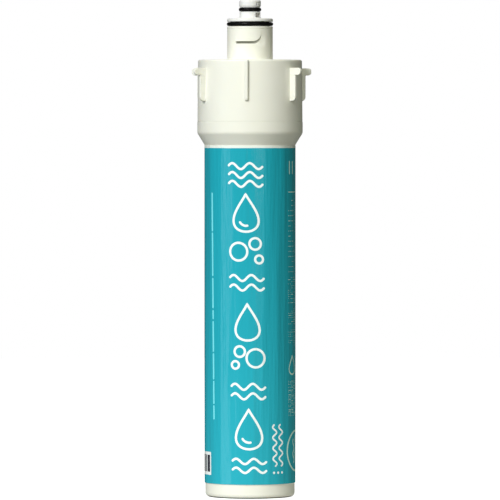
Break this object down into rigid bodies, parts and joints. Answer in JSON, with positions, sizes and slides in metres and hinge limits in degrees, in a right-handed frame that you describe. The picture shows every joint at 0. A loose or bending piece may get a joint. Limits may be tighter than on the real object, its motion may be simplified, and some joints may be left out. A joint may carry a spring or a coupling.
{
  "type": "reverse osmosis unit",
  "caption": "Sealed quick-change reverse osmosis cartridge: straight film-wrapped canister, finned collar, twist-in neck and sealed stem, with a spiral-wound element inside.",
  "frame": {"origin": "centre of the base, on the surface that the unit stands on", "axes": "+Z along the canister's axis, up to the outlet tip; -Y is the front, where the plain rib of the head is; +X to the right of it"},
  "size_m": [0.1092, 0.1, 0.45],
  "materials": {
    "cream_plastic": "satin moulded polypropylene",
    "white_plastic": "satin moulded polypropylene",
    "label_film": "glossy laminated film",
    "label_ink": "glossy printed ink",
    "black_rubber": "semi-gloss",
    "screen_mesh": "woven mesh",
    "inner_plastic": "satin",
    "seal_rubber": "matt",
    "core_plastic": "satin",
    "membrane_sheet": "smooth",
    "carrier_knit": "fine knit",
    "spacer_net": "extruded net",
    "wrap_tape": "adhesive tape",
    "valve_plastic": "satin",
    "poppet_plastic": "satin",
    "spring_wire": "drawn wire"
  },
  "bodies": {
    "cartridge": {"canister_body": "cream_plastic", "head_cap": "cream_plastic", "label_sleeve": "label_film", "inlet_spigot": "white_plastic", "outlet_tip": "white_plastic", "neck_o_ring": "black_rubber", "spigot_o_ring": "black_rubber", "inlet_screen": "screen_mesh", "top_manifold": "inner_plastic", "brine_seal": "seal_rubber", "drain_tube": "inner_plastic", "drain_tube_seal": "seal_rubber", "core_tube": "core_plastic", "core_tube_o_rings": "seal_rubber", "core_plug": "core_plastic", "membrane_leaves": "membrane_sheet", "permeate_carrier": "carrier_knit", "feed_spacer": "spacer_net", "outer_wrap": "wrap_tape", "upper_end_cap": "inner_plastic", "lower_end_cap": "inner_plastic", "foot_spider": "inner_plastic", "valve_body": "valve_plastic", "valve_cap": "valve_plastic", "valve_spring": "spring_wire", "permeate_riser": "white_plastic", "riser_seal": "seal_rubber"},
    "poppet": {"valve_poppet": "poppet_plastic", "valve_seal": "seal_rubber"}
  },
  "joints": [
    {"name": "poppet_lift", "type": "slide", "parent": "cartridge", "child": "poppet", "axis": [0, 0, 1], "range_m": [0, 0.0025], "stiffness_N_per_m": 60, "deforming": ["valve_spring"]}
  ]
}
